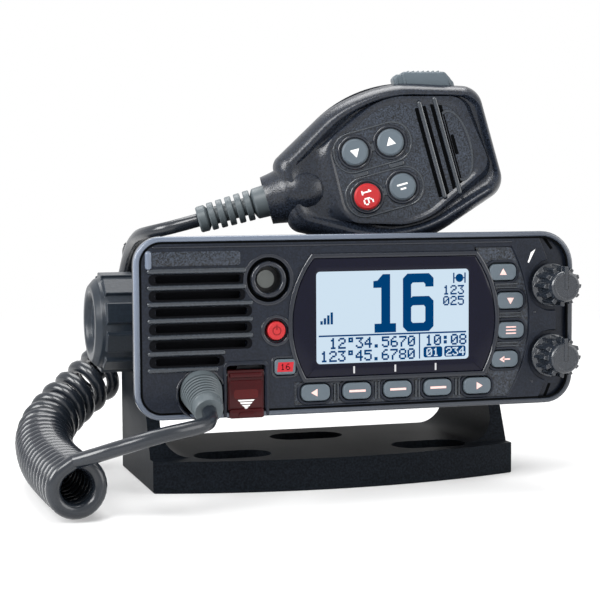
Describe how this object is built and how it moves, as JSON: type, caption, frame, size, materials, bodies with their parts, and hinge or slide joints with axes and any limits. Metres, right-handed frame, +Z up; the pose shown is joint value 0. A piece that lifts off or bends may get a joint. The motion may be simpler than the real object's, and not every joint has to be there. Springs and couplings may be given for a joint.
{
  "type": "vhf marine radio",
  "caption": "Fixed-mount VHF marine radio on a tilting U bracket, with a fist microphone on a curly cord resting on top.",
  "frame": {"origin": "on the surface that the bracket stands on, straight below the tilt axis and midway between the bracket's arms", "axes": "+X to the right of someone facing the radio, +Y away from them, +Z up"},
  "size_m": [0.1952, 0.1757, 0.1461],
  "materials": {
    "charcoal": "fine moulded grain",
    "bracket": "moulded glass-filled plastic, semi-matt",
    "chassis": "die cast, painted dark",
    "key": "satin",
    "red_key": "satin red",
    "window": "clear with a dark printed border",
    "lcd": "pale lit display",
    "board": "solder mask",
    "shield": "tin plated",
    "steel": "stainless",
    "chrome": "nickel plated",
    "insulator": "plain",
    "rubber": "plain",
    "boot": "satin grey",
    "cord": "satin",
    "cover": "translucent dark red",
    "cone": "treated paper",
    "frame": "black",
    "port": "satin grey",
    "talk_key": "satin grey"
  },
  "bodies": {
    "bracket": {"mounting_bracket": "bracket", "cord_coil": "cord"},
    "radio": {"front_bezel": "charcoal", "speaker_cone": "cone", "speaker_frame": "frame", "speaker_magnet": "frame", "window_lens": "window", "lcd_module": "lcd", "key_mat": "rubber", "front_board": "board", "main_board": "board", "power_amplifier": "shield", "rear_chassis": "chassis", "case_gasket": "rubber", "case_screws": "steel", "antenna_socket": "chrome", "socket_insulator": "insulator", "rear_grommets": "rubber", "cord_gland": "boot", "port_cap": "port", "port_ring": "charcoal", "control_pots": "shield", "cover_pin": "steel", "tilt_washers": "rubber", "cord_lead": "cord"},
    "left_tilt": {"left_tilt_knob": "charcoal", "left_stud": "steel"},
    "right_tilt": {"right_tilt_knob": "charcoal", "right_stud": "steel"},
    "volume": {"volume_knob": "charcoal", "volume_shaft": "steel"},
    "squelch": {"squelch_knob": "charcoal", "squelch_shaft": "steel"},
    "cover": {"button_cover": "cover"},
    "alarm": {"alarm_button": "red_key"},
    "mic": {"mic_front_shell": "charcoal", "mic_rear_shell": "charcoal", "mic_seal": "rubber", "mic_board": "board", "mic_capsule": "shield", "hanger_stud": "steel", "mic_screws": "steel", "mic_relief": "boot", "cord_tail": "cord"},
    "talk": {"ptt_button": "talk_key"},
    "power_key": {"power_key": "red_key"},
    "call_key": {"call_key": "key"},
    "left_key": {"left_key": "key"},
    "first_soft_key": {"first_soft_key": "key"},
    "second_soft_key": {"second_soft_key": "key"},
    "third_soft_key": {"third_soft_key": "key"},
    "right_key": {"right_key": "key"},
    "up_key": {"up_key": "key"},
    "down_key": {"down_key": "key"},
    "menu_key": {"menu_key": "key"},
    "clear_key": {"clear_key": "key"},
    "mic_down_key": {"mic_down_key": "key"},
    "mic_up_key": {"mic_up_key": "key"},
    "mic_red_key": {"mic_red_key": "red_key"},
    "mic_grey_key": {"mic_grey_key": "key"}
  },
  "joints": [
    {"name": "radio_tilt", "type": "hinge", "parent": "bracket", "child": "radio", "pos_m": [0, 0, 0.0574], "axis": [1, 0, 0], "range_deg": [-25, 15], "deforming": ["cord_lead", "cord_tail"]},
    {"name": "left_knob_turn", "type": "hinge", "parent": "radio", "child": "left_tilt", "pos_m": [-0.07, 0, 0.0574], "axis": [1, 0, 0], "continuous": true},
    {"name": "right_knob_turn", "type": "hinge", "parent": "radio", "child": "right_tilt", "pos_m": [0.07, 0, 0.0574], "axis": [1, 0, 0], "continuous": true},
    {"name": "volume_turn", "type": "hinge", "parent": "radio", "child": "volume", "pos_m": [0.0703, -0.0585, 0.0707], "axis": [0, 1, 0], "range_deg": [-150, 150]},
    {"name": "squelch_turn", "type": "hinge", "parent": "radio", "child": "squelch", "pos_m": [0.0703, -0.0585, 0.0459], "axis": [0, 1, 0], "range_deg": [-150, 150]},
    {"name": "power_key_press", "type": "slide", "parent": "radio", "child": "power_key", "axis": [0, 1, 0], "range_m": [0, 0.0006], "stiffness_N_per_m": 1200, "springref_m": -0.0004},
    {"name": "call_key_press", "type": "slide", "parent": "radio", "child": "call_key", "axis": [0, 1, 0], "range_m": [0, 0.0006], "stiffness_N_per_m": 1200, "springref_m": -0.0004},
    {"name": "left_key_press", "type": "slide", "parent": "radio", "child": "left_key", "axis": [0, 1, 0], "range_m": [0, 0.0006], "stiffness_N_per_m": 1200, "springref_m": -0.0004},
    {"name": "first_soft_key_press", "type": "slide", "parent": "radio", "child": "first_soft_key", "axis": [0, 1, 0], "range_m": [0, 0.0006], "stiffness_N_per_m": 1200, "springref_m": -0.0004},
    {"name": "second_soft_key_press", "type": "slide", "parent": "radio", "child": "second_soft_key", "axis": [0, 1, 0], "range_m": [0, 0.0006], "stiffness_N_per_m": 1200, "springref_m": -0.0004},
    {"name": "third_soft_key_press", "type": "slide", "parent": "radio", "child": "third_soft_key", "axis": [0, 1, 0], "range_m": [0, 0.0006], "stiffness_N_per_m": 1200, "springref_m": -0.0004},
    {"name": "right_key_press", "type": "slide", "parent": "radio", "child": "right_key", "axis": [0, 1, 0], "range_m": [0, 0.0006], "stiffness_N_per_m": 1200, "springref_m": -0.0004},
    {"name": "up_key_press", "type": "slide", "parent": "radio", "child": "up_key", "axis": [0, 1, 0], "range_m": [0, 0.0006], "stiffness_N_per_m": 1200, "springref_m": -0.0004},
    {"name": "down_key_press", "type": "slide", "parent": "radio", "child": "down_key", "axis": [0, 1, 0], "range_m": [0, 0.0006], "stiffness_N_per_m": 1200, "springref_m": -0.0004},
    {"name": "menu_key_press", "type": "slide", "parent": "radio", "child": "menu_key", "axis": [0, 1, 0], "range_m": [0, 0.0006], "stiffness_N_per_m": 1200, "springref_m": -0.0004},
    {"name": "clear_key_press", "type": "slide", "parent": "radio", "child": "clear_key", "axis": [0, 1, 0], "range_m": [0, 0.0006], "stiffness_N_per_m": 1200, "springref_m": -0.0004},
    {"name": "cover_lift", "type": "hinge", "parent": "radio", "child": "cover", "pos_m": [-0.04075, -0.054, 0.0434], "axis": [-1, 0, 0], "range_deg": [0, 90], "stiffness_Nm_per_rad": 0.002, "springref_deg": -17.19},
    {"name": "alarm_press", "type": "slide", "parent": "radio", "child": "alarm", "axis": [0, 1, 0], "range_m": [0, 0.0006], "stiffness_N_per_m": 1200, "springref_m": -0.0004},
    {"name": "mic_lift", "type": "slide", "parent": "radio", "child": "mic", "axis": [0, 0, 1], "range_m": [0, 0.045], "deforming": ["cord_tail"]},
    {"name": "talk_press", "type": "slide", "parent": "mic", "child": "talk", "axis": [0.2593, -0.0647, -0.9636], "range_m": [0, 0.0012], "stiffness_N_per_m": 1500, "springref_m": -0.0005},
    {"name": "mic_down_key_press", "type": "slide", "parent": "mic", "child": "mic_down_key", "axis": [0.2419, 0.9703, 0], "range_m": [0, 0.0008], "stiffness_N_per_m": 1200, "springref_m": -0.0004},
    {"name": "mic_up_key_press", "type": "slide", "parent": "mic", "child": "mic_up_key", "axis": [0.2419, 0.9703, 0], "range_m": [0, 0.0008], "stiffness_N_per_m": 1200, "springref_m": -0.0004},
    {"name": "mic_red_key_press", "type": "slide", "parent": "mic", "child": "mic_red_key", "axis": [0.2419, 0.9703, 0], "range_m": [0, 0.0008], "stiffness_N_per_m": 1200, "springref_m": -0.0004},
    {"name": "mic_grey_key_press", "type": "slide", "parent": "mic", "child": "mic_grey_key", "axis": [0.2419, 0.9703, 0], "range_m": [0, 0.0008], "stiffness_N_per_m": 1200, "springref_m": -0.0004}
  ]
}
